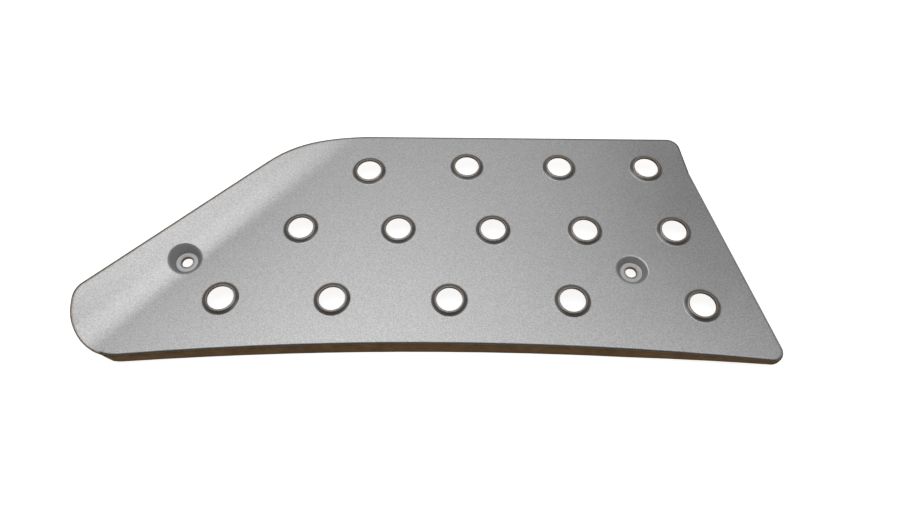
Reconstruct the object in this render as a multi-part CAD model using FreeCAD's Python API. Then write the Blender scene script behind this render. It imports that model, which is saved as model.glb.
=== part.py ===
import FreeCAD, Part
import math
import os

# Pressed steel footboard plate, one sheet: flat deck, nose bent up along a slanting line,
# near and rear edges folded down, raised grip holes and two sunk screw seats.
# Millimetres. Origin midway between the two screw holes, on the underside of their seats.
# X runs along the far edge towards the rear, Y towards the far edge, Z up.

# Sheet
sheet = 1.2
fold_radius = 2.0

# Screw seats, the front one in the nose bend
screw_span = 264.5
screw_skew = 4.7
screw_hole_radius = 3.25
seat_radius = 6.6
seat_rim_radius = 9.2
seat_depth = 3.6
seat_rim_round = 1.6
seat_floor_round = 0.8
front_rim_lift = 1.1

# Outline of the deck in plan
far_edge = 97.1
near_edge = 50.6
near_edge_bow_radius = 1890.0
near_edge_bow_shift = 17.0
rear_reach = 65.4
rear_lean = 14.4
nose_reach = 55.4
nose_tip_drop = 24.4
nose_edge_angle = 44.2
far_front_round = 90.0
nose_tip_round = 13.0
nose_heel_round = 28.0
rear_near_round = 7.0
rear_far_round = 8.0

# Far rear corner, left as a plain cut edge
raw_corner_length = 27.1
raw_corner_lean = 7.5
raw_corner_inset = 0.8

# Nose bend
bend_line_angle = 48.0
bend_rise = 20.0
bend_radius = 52.0

# Folded flange
flange_depth = 11.4
flange_edge_radius = 4800.0
flange_edge_shift = 10.0
flange_front_reach = 35.0
flange_run_out = 4.5
rear_corner_depth = 4.0
rear_taper_length = 90.0
rear_flange_run_out = 22.0

# Raised grip holes
grip_hole_radius = 7.6
grip_lip_width = 0.5
grip_slope_width = 2.8
grip_height = 1.5
grip_ease = 0.9

# Rows of grip holes: margins from the far and near edges
far_row_margin = 24.3
near_row_margin = 27.4

# Each row: from the bend line to its first hole, from its last hole to the rear edge,
# and how much the steps lengthen along it
far_row_front = 41.2
far_row_rear = 27.4
far_row_stretch = -0.08
far_row_count = 4
middle_row_front = 45.5
middle_row_rear = 29.4
middle_row_stretch = -0.055
middle_row_count = 5
near_row_front = 48.1
near_row_rear = 33.4
near_row_stretch = 0.105
near_row_count = 5

# Two end holes stand out of line, towards the near edge
far_row_front_set = 4.0
near_row_rear_set = 2.5

# Worked out from the sizes above
deck_top = sheet + seat_depth
deck_bottom = deck_top - sheet
front_screw = FreeCAD.Vector(-screw_span / 2, screw_skew / 2, 0)
rear_screw = FreeCAD.Vector(screw_span / 2, -screw_skew / 2, 0)
bow_centre = FreeCAD.Vector(near_edge_bow_shift, -near_edge - near_edge_bow_radius, 0)
beyond = 2 * (screw_span + far_edge + near_edge)
fold_band = 3 * fold_radius
side_share = 0.98
up = FreeCAD.Vector(0, 0, 1)


def near_edge_at(x):
    side = x - bow_centre.x
    return bow_centre.y + math.sqrt(near_edge_bow_radius ** 2 - side ** 2)


def rear_edge_at(y):
    return rear_screw.x + rear_reach - (y - rear_screw.y) * math.tan(math.radians(rear_lean))


def bend_line_at(y):
    return front_screw.x + (y - front_screw.y) / math.tan(math.radians(bend_line_angle))


def rear_near_corner():
    """Where the straight rear edge meets the bowed near edge."""
    lean = math.radians(rear_lean)
    along = FreeCAD.Vector(-math.sin(lean), math.cos(lean), 0)
    start = FreeCAD.Vector(rear_edge_at(0), 0, 0) - bow_centre
    ahead = start.dot(along)
    across = start - along * ahead
    return bow_centre + across + along * math.sqrt(near_edge_bow_radius ** 2 - across.dot(across))


def raw_corner_start():
    """Where the fold of the rear edge ends and the plain cut corner begins."""
    y = far_edge - raw_corner_length
    return FreeCAD.Vector(rear_edge_at(y) - raw_corner_inset, y, 0)


def raw_corner_end():
    rise = FreeCAD.Vector(-math.tan(math.radians(raw_corner_lean)), 1, 0)
    return raw_corner_start() + rise * raw_corner_length


def outline_corners():
    nose_x = front_screw.x - nose_reach
    tip = FreeCAD.Vector(nose_x, front_screw.y - nose_tip_drop, 0)
    heel = FreeCAD.Vector(nose_x, near_edge_at(nose_x), 0)
    far_front_x = nose_x + (far_edge - tip.y) / math.tan(math.radians(nose_edge_angle))
    far_front = FreeCAD.Vector(far_front_x, far_edge, 0)
    return far_front, tip, heel, rear_near_corner()


def heel_round_limit(tip, heel):
    """Largest heel rounding that the short nose side has room for beside the tip's rounding."""
    tip_turn = math.radians(90 - nose_edge_angle)
    room = (tip - heel).Length - nose_tip_round * math.tan(tip_turn / 2)
    heel_angle = math.radians(90) - math.asin((bow_centre.x - heel.x) / near_edge_bow_radius)
    return side_share * room * math.tan(heel_angle / 2)


def upright_edge(solid, corner):
    for edge in solid.Edges:
        if all(math.hypot(v.X - corner.x, v.Y - corner.y) < 1e-4 for v in edge.Vertexes):
            return edge


def outline_prism(bottom, top, rear_line):
    """Plan of the plate with its corners rounded, the rear edge through the given points."""
    far_front, tip, heel, rear_near = outline_corners()
    bow_x = (heel.x + rear_near.x) / 2
    bow_middle = FreeCAD.Vector(bow_x, near_edge_at(bow_x), 0)
    edges = [
        Part.LineSegment(far_front, tip).toShape(),
        Part.LineSegment(tip, heel).toShape(),
        Part.Arc(heel, bow_middle, rear_near).toShape(),
    ]
    rear = [rear_near] + rear_line + [far_front]
    edges += Part.makePolygon(rear).Edges
    face = Part.Face(Part.Wire(edges))
    face.translate(up * bottom)
    prism = face.extrude(up * (top - bottom))
    rounds = (
        (far_front, far_front_round),
        (tip, nose_tip_round),
        (heel, min(nose_heel_round, heel_round_limit(tip, heel))),
        (rear_near, rear_near_round),
        (rear_line[-1], rear_far_round),
    )
    for corner, radius in rounds:
        prism = prism.makeFillet(radius, [upright_edge(prism, corner)])
    return prism


def edges_at_height(solid, z):
    return [e for e in solid.Edges if all(abs(v.Z - z) < 1e-5 for v in e.Vertexes)]


def bend_section(depth):
    """Closed section across the bend: the deck's top line and a line the given depth below it."""
    rise = math.radians(bend_rise)
    flat = bend_radius * math.tan(rise / 2)

    centre = FreeCAD.Vector(-flat, 0, deck_top + bend_radius)

    def line(drop):
        radius = bend_radius + drop
        start = centre - up * radius
        middle = centre + FreeCAD.Vector(math.sin(rise / 2), 0, -math.cos(rise / 2)) * radius
        end = centre + FreeCAD.Vector(math.sin(rise), 0, -math.cos(rise)) * radius
        tip = end + FreeCAD.Vector(math.cos(rise), 0, math.sin(rise)) * beyond
        return start, middle, end, tip

    top_start, top_middle, top_end, top_tip = line(0)
    low_start, low_middle, low_end, low_tip = line(depth)
    back = FreeCAD.Vector(-beyond, 0, 0)
    edges = [
        Part.LineSegment(top_start + back, top_start).toShape(),
        Part.Arc(top_start, top_middle, top_end).toShape(),
        Part.LineSegment(top_end, top_tip).toShape(),
        Part.LineSegment(top_tip, low_tip).toShape(),
        Part.LineSegment(low_tip, low_end).toShape(),
        Part.Arc(low_end, low_middle, low_start).toShape(),
        Part.LineSegment(low_start, low_start + back).toShape(),
        Part.LineSegment(low_start + back, top_start + back).toShape(),
    ]
    return Part.Face(Part.Wire(edges))


def bent_slab(depth):
    """Endless sheet of the given depth, bent up along the line through the front screw."""
    section = bend_section(depth)
    section.translate(FreeCAD.Vector(0, -beyond, 0))
    slab = section.extrude(FreeCAD.Vector(0, 2 * beyond, 0))
    slab.rotate(FreeCAD.Vector(0, 0, 0), up, 90 + bend_line_angle)
    slab.translate(FreeCAD.Vector(front_screw.x, front_screw.y, 0))
    return slab


def flange_front_x():
    return front_screw.x - flange_front_reach


def fold_zone():
    """Upright prism over the near and rear edges, as far as they are folded."""
    front_x = flange_front_x()
    rear_y = raw_corner_start().y
    points = [
        FreeCAD.Vector(front_x, near_edge_at(front_x) + fold_band, 0),
        FreeCAD.Vector(rear_edge_at(rear_y) - fold_band, rear_y, 0),
        FreeCAD.Vector(beyond, rear_y, 0),
        FreeCAD.Vector(beyond, -beyond, 0),
        FreeCAD.Vector(front_x, -beyond, 0),
    ]
    face = Part.Face(Part.makePolygon(points + points[:1]))
    face.translate(up * -beyond)
    return face.extrude(up * 2 * beyond)


def flange_bow_at(x):
    side = x - flange_edge_shift
    drop = math.sqrt(flange_edge_radius ** 2 - side ** 2)
    return deck_top - flange_depth + flange_edge_radius - drop


def rear_taper_start():
    return rear_near_corner().x - rear_taper_length


def flange_edge_at(x):
    """Height of the flange's lower edge: bowed, then rising straight towards the rear corner."""
    start = rear_taper_start()
    if x <= start:
        return flange_bow_at(x)
    low = flange_bow_at(start)
    return low + (deck_top - rear_corner_depth - low) * (x - start) / rear_taper_length


def below_flange():
    """Space under the flange's lower edge, which is deepest a little behind the middle."""
    sides = (-beyond / 2, flange_edge_shift, rear_taper_start(), beyond / 2)
    left, middle, taper, right = [FreeCAD.Vector(x, -beyond, flange_edge_at(x)) for x in sides]
    deep = up * -beyond
    edges = [
        Part.Arc(left, middle, taper).toShape(),
        Part.LineSegment(taper, right).toShape(),
        Part.LineSegment(right, right + deep).toShape(),
        Part.LineSegment(right + deep, left + deep).toShape(),
        Part.LineSegment(left + deep, left).toShape(),
    ]
    return Part.Face(Part.Wire(edges)).extrude(FreeCAD.Vector(0, 2 * beyond, 0))


def run_out(end, full, edge_z, sweep):
    """Space under a flange that dies away from its full depth to the bare sheet at its end."""
    points = [
        end + up * deck_bottom,
        full + up * edge_z,
        full + up * -beyond,
        end + up * -beyond,
    ]
    return Part.Face(Part.makePolygon(points + points[:1])).extrude(sweep)


def front_run_out():
    end = FreeCAD.Vector(flange_front_x(), -beyond, 0)
    full = end + FreeCAD.Vector(flange_run_out, 0, 0)
    return run_out(end, full, flange_edge_at(full.x), FreeCAD.Vector(0, beyond, 0))


def rear_run_out():
    end = FreeCAD.Vector(rear_screw.x, raw_corner_start().y, 0)
    full = end - FreeCAD.Vector(0, rear_flange_run_out, 0)
    return run_out(end, full, flange_edge_at(rear_edge_at(full.y)), FreeCAD.Vector(beyond, 0, 0))


def folded_edges():
    """Deck inside the fold zone with its flange, a shell of even thickness."""
    bottom = deck_top - flange_depth - fold_radius
    straight_end = FreeCAD.Vector(rear_edge_at(far_edge), far_edge, 0)
    outside = outline_prism(bottom, deck_top, [straight_end])
    inside_face = outside.Faces[0]
    for face in outside.Faces:
        if abs(face.CenterOfMass.z - bottom) < 1e-6:
            inside_face = face
    inside = inside_face.makeOffset2D(-sheet).extrude(up * (deck_bottom - bottom))
    outside = outside.makeFillet(fold_radius, edges_at_height(outside, deck_top))
    inside = inside.makeFillet(fold_radius - sheet, edges_at_height(inside, deck_bottom))
    shell = outside.cut(inside).common(fold_zone()).cut(below_flange())
    return shell.cut(front_run_out()).cut(rear_run_out())


def bent_deck():
    """Deck and nose outside the fold zone, with plain cut edges."""
    outline = outline_prism(-beyond / 4, beyond / 4, [raw_corner_start(), raw_corner_end()])
    return bent_slab(sheet).common(outline).cut(fold_zone())


def level_circle(radius, z):
    return Part.Wire(Part.Circle(up * z, up, radius).toShape())


def seat_funnel(grow, lift, tilt):
    """Solid that widens from the seat's floor through its rim and on above the deck."""
    low_radius = seat_radius + grow
    high_radius = 2 * (seat_rim_radius + grow) - low_radius
    low = level_circle(low_radius, 0)
    high = level_circle(high_radius, 0)
    bend = math.radians(bend_line_angle)
    along_bend = FreeCAD.Vector(math.cos(bend), math.sin(bend), 0)
    high_tilt = math.degrees(math.atan(2 * math.tan(math.radians(tilt))))
    high.rotate(FreeCAD.Vector(0, 0, 0), along_bend, high_tilt)
    high.translate(up * 2 * (seat_depth + lift))
    return Part.makeLoft([low, high], True, True)


def seat_floor_edges(bowl):
    return [e for e in edges_at_height(bowl, sheet) if abs(e.CenterOfMass.z - sheet) < 1e-5]


def seat_rim_edges(bowl, point):
    rim = []
    for edge in bowl.Edges:
        middle = edge.valueAt((edge.FirstParameter + edge.LastParameter) / 2)
        away = math.hypot(middle.x - point.x, middle.y - point.y)
        if abs(away - seat_rim_radius) < seat_rim_radius / 4 and middle.z > deck_top - 1e-3:
            rim.append(edge)
    return rim


def seat_pocket(point, lift, tilt):
    """Hollow of a screw seat, with a soft rim and a rounded floor."""
    funnel = seat_funnel(0, lift, tilt)
    funnel.translate(FreeCAD.Vector(point.x, point.y, sheet))
    low = FreeCAD.Vector(point.x, point.y, -seat_depth)
    block = Part.makeCylinder(2 * seat_rim_radius, 8 * seat_depth, low, up)
    block = block.common(bent_slab(3 * seat_depth))
    bowl = block.cut(funnel)
    bowl = bowl.makeFillet(seat_floor_round, seat_floor_edges(bowl))
    bowl = bowl.makeFillet(seat_rim_round, seat_rim_edges(bowl, point))
    return block.cut(bowl)


def add_screw_seat(plate, point, lift, tilt):
    """Sinks a seat for a screw head into the deck and pierces it."""
    wall_angle = math.atan2(seat_depth, seat_rim_radius - seat_radius)
    cup = seat_funnel(sheet * math.tan(wall_angle / 2), lift, tilt)
    cup.translate(point)
    cup = cup.common(bent_slab(3 * seat_depth))
    hole = Part.makeCylinder(screw_hole_radius, 3 * sheet, point - up * sheet, up)
    return plate.fuse(cup).cut(seat_pocket(point, lift, tilt)).cut(hole)


def grip_collar():
    """Ring of raised sheet round a grip hole, its slope one smooth S from foot to crest."""
    lip = grip_hole_radius + grip_lip_width
    foot = FreeCAD.Vector(lip + grip_slope_width, 0, 0)
    crest = FreeCAD.Vector(lip, 0, grip_height)
    inner = FreeCAD.Vector(grip_hole_radius, 0, grip_height)
    ease = FreeCAD.Vector(grip_ease, 0, 0)
    down = up * -sheet
    slope = Part.BezierCurve()
    slope.setPoles([foot, foot - ease, crest + ease, crest])
    under = [
        crest,
        inner,
        inner + down,
        crest + ease / 2 + down,
        foot - ease / 2 + down,
        foot + down,
        foot,
    ]
    wire = Part.Wire([slope.toShape()] + Part.makePolygon(under).Edges)
    return Part.Face(wire).revolve(FreeCAD.Vector(0, 0, 0), up, 360)


def row_points(y, front, rear, stretch, count):
    first = bend_line_at(y) + front
    span = rear_edge_at(y) - rear - first
    steps = [i / (count - 1) for i in range(count)]
    return [FreeCAD.Vector(first + span * (u + stretch * u * (u - 1)), y, deck_top) for u in steps]


def grip_points():
    far_y = far_edge - far_row_margin
    near_y = near_row_margin - near_edge
    middle_y = (far_y + near_y) / 2
    far_row = row_points(far_y, far_row_front, far_row_rear, far_row_stretch, far_row_count)
    middle_row = row_points(
        middle_y, middle_row_front, middle_row_rear, middle_row_stretch, middle_row_count
    )
    near_row = row_points(near_y, near_row_front, near_row_rear, near_row_stretch, near_row_count)
    far_row[0].y -= far_row_front_set
    near_row[-1].y -= near_row_rear_set
    return far_row + middle_row + near_row


def add_grip_holes(plate):
    base = grip_hole_radius + grip_lip_width + grip_slope_width
    collar = grip_collar()
    for point in grip_points():
        plate = plate.cut(Part.makeCylinder(base, 3 * sheet, point - up * 2 * sheet, up))
        plate = plate.fuse(collar.translated(point))
    return plate


def footboard_plate():
    plate = bent_deck().fuse(folded_edges()).removeSplitter()
    plate = add_screw_seat(plate, front_screw, front_rim_lift, bend_rise / 2)
    plate = add_screw_seat(plate, rear_screw, 0, 0)
    plate = add_grip_holes(plate).removeSplitter()
    return plate.Solids[0]


os.makedirs("parts", exist_ok=True)
plate = footboard_plate()
print("valid", plate.isValid(), "volume", round(plate.Volume), "box", plate.BoundBox)
plate.exportStep("parts/footboard_plate.step")
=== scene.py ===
import math
import bpy
from mathutils import Matrix, Vector


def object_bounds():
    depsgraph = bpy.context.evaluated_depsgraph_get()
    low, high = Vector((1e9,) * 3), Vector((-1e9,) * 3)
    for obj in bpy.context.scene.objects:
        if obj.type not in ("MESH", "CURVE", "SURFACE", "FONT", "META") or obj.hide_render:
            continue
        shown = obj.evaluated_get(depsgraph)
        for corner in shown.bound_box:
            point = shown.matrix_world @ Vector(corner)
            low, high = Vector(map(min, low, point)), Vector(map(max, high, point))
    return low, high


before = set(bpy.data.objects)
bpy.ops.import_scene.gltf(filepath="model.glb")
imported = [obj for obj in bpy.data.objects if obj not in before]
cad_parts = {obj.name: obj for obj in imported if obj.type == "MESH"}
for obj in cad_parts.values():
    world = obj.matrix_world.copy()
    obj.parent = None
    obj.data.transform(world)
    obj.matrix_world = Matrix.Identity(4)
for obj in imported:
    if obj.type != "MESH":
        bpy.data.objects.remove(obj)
cadBox = [list(corner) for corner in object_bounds()]
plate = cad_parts["footboard_plate"]
print("frame loaded, plate box", cadBox)


# small helpers for node trees

noiseSpan = (0.3, 0.7)        # a noise texture's values lie mostly in here


def newMaterial(name):
    material = bpy.data.materials.new(name)
    material.use_nodes = True
    nodes = material.node_tree.nodes
    nodes.clear()
    return material, nodes, material.node_tree.links


def addNoise(nodes, links, coords, look):
    noise = nodes.new("ShaderNodeTexNoise")
    noise.inputs["Scale"].default_value = look["scale"]
    noise.inputs["Detail"].default_value = look["detail"]
    noise.inputs["Roughness"].default_value = look["roughness"]
    links.new(coords, noise.inputs["Vector"])
    return noise.outputs["Fac"]


def addBump(nodes, links, height, look):
    bump = nodes.new("ShaderNodeBump")
    bump.inputs["Strength"].default_value = look["strength"]
    bump.inputs["Distance"].default_value = look["distance"]
    links.new(height, bump.inputs["Height"])
    return bump


def addRange(nodes, links, value, fromSpan, toLow=0.0, toHigh=1.0):
    span = nodes.new("ShaderNodeMapRange")
    span.inputs["From Min"].default_value, span.inputs["From Max"].default_value = fromSpan
    span.inputs["To Min"].default_value = toLow
    span.inputs["To Max"].default_value = toHigh
    links.new(value, span.inputs["Value"])
    return span.outputs["Result"]


def addMath(nodes, links, operation, first, second):
    step = nodes.new("ShaderNodeMath")
    step.operation = operation
    for socket, value in zip(step.inputs, (first, second)):
        if isinstance(value, (int, float)):
            socket.default_value = value
        else:
            links.new(value, socket)
    return step.outputs["Value"]


def addMix(nodes, links, factor, colourA, colourB):
    mix = nodes.new("ShaderNodeMix")
    mix.data_type = "RGBA"
    links.new(factor, mix.inputs["Factor"])
    for socket, colour in ((mix.inputs["A"], colourA), (mix.inputs["B"], colourB)):
        if isinstance(colour, tuple):
            socket.default_value = (*colour, 1.0)
        else:
            links.new(colour, socket)
    return mix.outputs["Result"]


# 1 within reach of any of the centres, seen from above, and 0 away from them
def addSpots(nodes, links, coords, centres, reach, fade):
    flat = nodes.new("ShaderNodeVectorMath")
    flat.operation = "MULTIPLY"
    flat.inputs[1].default_value = (1.0, 1.0, 0.0)
    links.new(coords, flat.inputs[0])
    inside = 0.0
    for centre in centres:
        away = nodes.new("ShaderNodeVectorMath")
        away.operation = "DISTANCE"
        away.inputs[1].default_value = (*centre, 0.0)
        links.new(flat.outputs["Vector"], away.inputs[0])
        spot = addRange(nodes, links, away.outputs["Value"], (reach, reach + fade), 1.0, 0.0)
        inside = addMath(nodes, links, "MAXIMUM", inside, spot)
    return inside


# silver paint on faces that look up, over a painted brown reflection and shade on upright faces, edges and
# the underside

# a lean is 1 on a face that looks straight up, and 0 on an upright one
silverPaint = {
    "dark": (0.46, 0.463, 0.46),
    "light": (0.74, 0.745, 0.74),
    "metallic": 0.9,
    "rough": (0.35, 0.38),
    "flake": {"scale": 1300.0, "detail": 2.0, "roughness": 0.6},     # about three quarters of a millimetre
    "mottle": {"scale": 28.0, "detail": 3.0, "roughness": 0.5},
    "peel": {"scale": 420.0, "detail": 2.0, "roughness": 0.5},
    "flakeShare": 0.9,        # the rest of the tone is mottle
    "flakeBump": {"strength": 0.12, "distance": 0.0001},
    "peelBump": {"strength": 0.06, "distance": 0.0004},
    # painted shade: a dark grey on slopes and folds that lean away from up
    "paintedSlopeShade": (0.20, 0.20, 0.20),
    "shadeLean": (0.85, 0.934),          # painted shade, darkest at the first, none at the second
    "silverLean": (0.50, 0.82),          # no silver at the first, whole at the second; the painted brown reflection and shade shows where there is none
    "ragged": 0.06,
    "edgeWidth": 0.0026,      # the painted brown reflection and shade shows along sharp edges as a dark outline
    "edgeSamples": 8,
    "edgeTurn": (0.88, 0.99),
}

# in the screw seats the silver is dull and covers the walls too, but the lips of their holes keep the
# painted brown reflection and shade
screwSeats = {
    "centres": ((-0.13225, 0.00235), (0.13225, -0.00235)),
    "reach": 0.0095,
    "fade": 0.001,
    "boreReach": 0.0042,
    "boreFade": 0.0004,
    # the wall colour is painted shade on the steeper faces of the seats
    "wall": (0.50, 0.50, 0.505),
    "floor": (0.70, 0.705, 0.70),
    "metallic": 0.75,
    "wallRough": 0.62,
    "roughLean": (0.6, 0.95),           # wall at the first, floor at the second
    "upperLean": (0.0, 0.1),            # the underside keeps the painted brown reflection and shade
}

# dark brown painted reflection of a brown table, and painted shade, for upright faces, edges and the
# underside
paintedBrownReflection = {
    "dark": (0.145, 0.080, 0.029),
    "light": (0.233, 0.132, 0.051),
    "mottle": {"scale": 160.0, "detail": 4.0, "roughness": 0.5},
    "rough": 0.72,
    "specular": 0.12,
}


def addSilver(nodes, links, grain, lean, inSeat, bumped):
    look, seat = silverPaint, screwSeats
    tone = addMath(nodes, links, "ADD",
                   addMath(nodes, links, "MULTIPLY", grain["flake"], look["flakeShare"]),
                   addMath(nodes, links, "MULTIPLY", grain["mottle"], 1.0 - look["flakeShare"]))
    full = addMix(nodes, links, addRange(nodes, links, tone, noiseSpan), look["dark"], look["light"])
    # painted shade on leaning faces, on the plate and in the seats
    outOfShade = addRange(nodes, links, lean, look["shadeLean"])
    onPlate = addMix(nodes, links, outOfShade, look["paintedSlopeShade"], full)
    onSeat = addMix(nodes, links, outOfShade, seat["wall"], seat["floor"])
    plateRough = addRange(nodes, links, grain["mottle"], noiseSpan, *look["rough"])
    seatRough = addRange(nodes, links, lean, seat["roughLean"], seat["wallRough"], look["rough"][0])
    seatRough = addMath(nodes, links, "MULTIPLY", inSeat, seatRough)
    rough = addMath(nodes, links, "MAXIMUM", plateRough, seatRough)
    metallic = addRange(nodes, links, inSeat, (0.0, 1.0), look["metallic"], seat["metallic"])
    silver = nodes.new("ShaderNodeBsdfPrincipled")
    links.new(addMix(nodes, links, inSeat, onPlate, onSeat), silver.inputs["Base Color"])
    links.new(metallic, silver.inputs["Metallic"])
    links.new(rough, silver.inputs["Roughness"])
    links.new(bumped, silver.inputs["Normal"])
    return silver.outputs["BSDF"]


# the painted brown reflection and shade, as a dull brown surface
def addPaintedReflection(nodes, links, place, bumped):
    look = paintedBrownReflection
    brownSheet = nodes.new("ShaderNodeBsdfPrincipled")
    brownSheet.inputs["Roughness"].default_value = look["rough"]
    brownSheet.inputs["Specular IOR Level"].default_value = look["specular"]
    tone = addRange(nodes, links, addNoise(nodes, links, place, look["mottle"]), noiseSpan)
    links.new(addMix(nodes, links, tone, look["dark"], look["light"]), brownSheet.inputs["Base Color"])
    links.new(bumped, brownSheet.inputs["Normal"])
    return brownSheet.outputs["BSDF"]


# how far a sharp edge is, from 0 on it to 1 clear of it
def addOffEdge(nodes, links, normal):
    softened = nodes.new("ShaderNodeBevel")
    softened.samples = silverPaint["edgeSamples"]
    softened.inputs["Radius"].default_value = silverPaint["edgeWidth"]
    turn = nodes.new("ShaderNodeVectorMath")
    turn.operation = "DOT_PRODUCT"
    links.new(softened.outputs["Normal"], turn.inputs[0])
    links.new(normal, turn.inputs[1])
    return addRange(nodes, links, turn.outputs["Value"], silverPaint["edgeTurn"])


# where the silver lies: on faces that look up and in the seats; elsewhere the painted brown reflection and
# shade
def addSilverShare(nodes, links, peel, place, normal, lean, inSeat):
    look, seat = silverPaint, screwSeats
    ragged = addRange(nodes, links, peel, noiseSpan, -look["ragged"], look["ragged"])
    silverShare = addRange(nodes, links, addMath(nodes, links, "ADD", lean, ragged), look["silverLean"])
    # painted brown reflection and shade as a dark line along sharp edges
    silverShare = addMath(nodes, links, "MULTIPLY", silverShare, addOffEdge(nodes, links, normal))
    inBore = addSpots(nodes, links, place, seat["centres"], seat["boreReach"], seat["boreFade"])
    seatSilver = addMath(nodes, links, "SUBTRACT", inSeat, inBore)
    seatSilver = addMath(nodes, links, "MULTIPLY", seatSilver, addRange(nodes, links, lean, seat["upperLean"]))
    return addMath(nodes, links, "MAXIMUM", silverShare, seatSilver)


def makeSilverPaint():
    material, nodes, links = newMaterial("silverPaint")
    place = nodes.new("ShaderNodeTexCoord").outputs["Object"]
    normal = nodes.new("ShaderNodeNewGeometry").outputs["Normal"]
    direction = nodes.new("ShaderNodeSeparateXYZ")
    links.new(normal, direction.inputs["Vector"])
    lean = direction.outputs["Z"]
    grain = {name: addNoise(nodes, links, place, silverPaint[name]) for name in ("flake", "mottle", "peel")}
    peelBump = addBump(nodes, links, grain["peel"], silverPaint["peelBump"])
    flakeBump = addBump(nodes, links, grain["flake"], silverPaint["flakeBump"])
    links.new(peelBump.outputs["Normal"], flakeBump.inputs["Normal"])
    bumped = flakeBump.outputs["Normal"]
    inSeat = addSpots(nodes, links, place, screwSeats["centres"], screwSeats["reach"], screwSeats["fade"])

    # silver mixed with the painted brown reflection and shade
    both = nodes.new("ShaderNodeMixShader")
    links.new(addSilverShare(nodes, links, grain["peel"], place, normal, lean, inSeat), both.inputs["Fac"])
    links.new(addPaintedReflection(nodes, links, place, bumped), both.inputs[1])
    links.new(addSilver(nodes, links, grain, lean, inSeat, bumped), both.inputs[2])
    output = nodes.new("ShaderNodeOutputMaterial")
    links.new(both.outputs["Shader"], output.inputs["Surface"])
    return material


plate.data.materials.clear()
plate.data.materials.append(makeSilverPaint())
print("plate painted")


# pale floor that the plate's flange stands on, white where it is seen

floorLook = {
    "size": 6.0,
    "level": cadBox[0][2] - 0.0001,     # just clear of the flange
    "colour": (0.80, 0.80, 0.80),
    "white": 0.90,            # added to the lit floor
}


def makeFloor(look):
    bpy.ops.mesh.primitive_plane_add(size=look["size"], location=(0, 0, look["level"]))
    floor = bpy.context.object
    floor.name = "studioFloor"
    material, nodes, links = newMaterial("studioFloor")
    lit = nodes.new("ShaderNodeBsdfDiffuse")
    lit.inputs["Color"].default_value = (*look["colour"], 1.0)
    white = nodes.new("ShaderNodeEmission")
    path = nodes.new("ShaderNodeLightPath")
    seen = addMath(nodes, links, "MAXIMUM", path.outputs["Is Camera Ray"], path.outputs["Is Glossy Ray"])
    seen = addMath(nodes, links, "MAXIMUM", seen, path.outputs["Is Transmission Ray"])
    links.new(addMath(nodes, links, "MULTIPLY", seen, look["white"]), white.inputs["Strength"])
    both = nodes.new("ShaderNodeAddShader")
    links.new(lit.outputs["BSDF"], both.inputs[0])
    links.new(white.outputs["Emission"], both.inputs[1])
    output = nodes.new("ShaderNodeOutputMaterial")
    links.new(both.outputs["Shader"], output.inputs["Surface"])
    floor.data.materials.append(material)


makeFloor(floorLook)
print("floor laid")


# a long lamp overhead, a weak broad one to its left and one behind

studioLight = {
    "softOverhead": {"place": (0.04, 0.11, 1.10), "tilt": -6.0, "size": (1.56, 0.70), "power": 3.29},
    "softLeft": {"place": (-0.47, 0.22, 1.10), "tilt": -11.0, "size": (1.10, 1.05), "power": 1.20},
    "softBehind": {"place": (0.01, 0.84, 1.10), "tilt": -37.0, "size": (0.97, 0.78), "power": 1.31},
}


def makeLamp(name, look):
    data = bpy.data.lights.new(name, "AREA")
    data.shape = "RECTANGLE"
    data.size, data.size_y = look["size"]
    data.energy = look["power"]
    lamp = bpy.data.objects.new(name, data)
    lamp.location = look["place"]
    lamp.rotation_euler.x = math.radians(look["tilt"])
    bpy.context.scene.collection.objects.link(lamp)


for lampName, lampLook in studioLight.items():
    makeLamp(lampName, lampLook)
print("lamps set")


# pale walls that darken towards the ceiling

roomLook = {
    "wall": 0.40,
    "ceiling": 0.08,
    "heights": (0.20, 0.70),  # where walls end and ceiling starts, 0 being level and 1 straight up
}


def makeRoom(look):
    world = bpy.data.worlds.new("paleRoom")
    world.use_nodes = True
    nodes, links = world.node_tree.nodes, world.node_tree.links
    direction = nodes.new("ShaderNodeSeparateXYZ")
    links.new(nodes.new("ShaderNodeTexCoord").outputs["Generated"], direction.inputs["Vector"])
    level = addRange(nodes, links, direction.outputs["Z"], look["heights"], look["wall"], look["ceiling"])
    nodes["Background"].inputs["Color"].default_value = (1.0, 1.0, 1.0, 1.0)
    links.new(level, nodes["Background"].inputs["Strength"])
    bpy.context.scene.world = world


makeRoom(roomLook)
print("room set")


# camera where the photograph was taken from

photoCamera = {
    "place": (0.02005, -0.20375, 0.3631),
    "right": (0.99992, 0.00143, 0.01262),
    "forward": (0.01013, 0.50909, -0.86065),
    "lens": 27.83,
    "sensor": 36.0,
    "clip": (0.01, 50.0),
}


def makeCamera(look):
    data = bpy.data.cameras.new("photoCamera")
    data.sensor_width = look["sensor"]
    data.lens = look["lens"]
    data.clip_start, data.clip_end = look["clip"]
    camera = bpy.data.objects.new("photoCamera", data)
    back = -Vector(look["forward"]).normalized()
    right = Vector(look["right"]).normalized()
    above = back.cross(right).normalized()
    right = above.cross(back)
    turn = Matrix((right, above, back)).transposed().to_4x4()
    camera.matrix_world = Matrix.Translation(look["place"]) @ turn
    bpy.context.scene.collection.objects.link(camera)
    bpy.context.scene.camera = camera


makeCamera(photoCamera)
bpy.context.scene.view_settings.view_transform = "Standard"
print("camera set")
